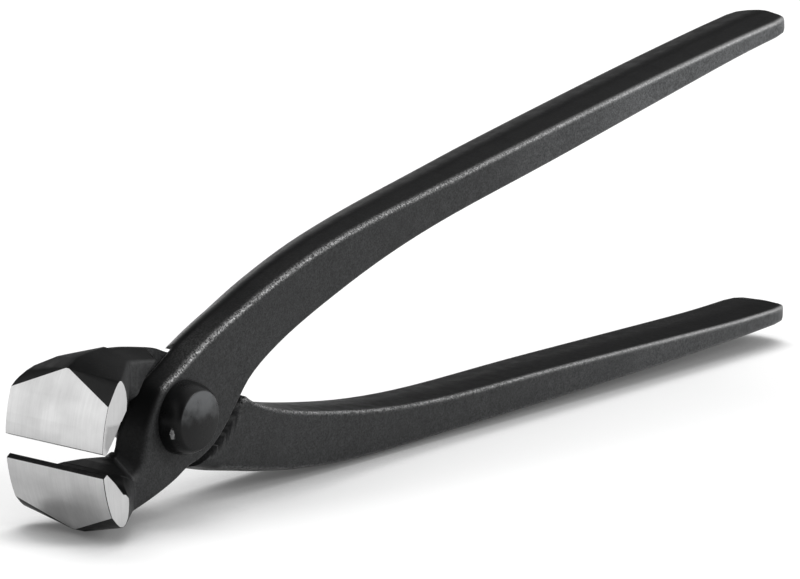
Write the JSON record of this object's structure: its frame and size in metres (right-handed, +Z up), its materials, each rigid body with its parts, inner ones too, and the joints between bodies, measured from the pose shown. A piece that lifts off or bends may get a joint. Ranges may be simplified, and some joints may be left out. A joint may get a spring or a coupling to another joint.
{
  "type": "end cutting nippers",
  "caption": "End cutting nippers: crossed forged levers lapped at one large rivet, with wide ground end-cutting jaws and long plain handles.",
  "frame": {"origin": "bottom centre of the bounding box, with the tool standing on its edge on the lower jaw and the lower handle, as pictured", "axes": "+X from the jaws to the handles along the ground, +Y along the rivet to the back, +Z up"},
  "size_m": [0.2226, 0.021, 0.0674],
  "materials": {
    "forged_steel_front": "satin black forging skin over tool steel, jaw face and jaw sides ground bright",
    "forged_steel_rear": "satin black forging skin over tool steel, jaw face and jaw sides ground bright",
    "rivet_steel": "smooth semi-gloss black steel"
  },
  "bodies": {
    "rear_lever": {"rear_lever": "forged_steel_rear", "rivet": "rivet_steel"},
    "front_lever": {"front_lever": "forged_steel_front"}
  },
  "joints": [
    {"name": "rivet_hinge", "type": "hinge", "parent": "rear_lever", "child": "front_lever", "pos_m": [-0.08335, 0, 0.01719], "axis": [0, -1, 0], "range_deg": [-6.2, 19.8]}
  ]
}
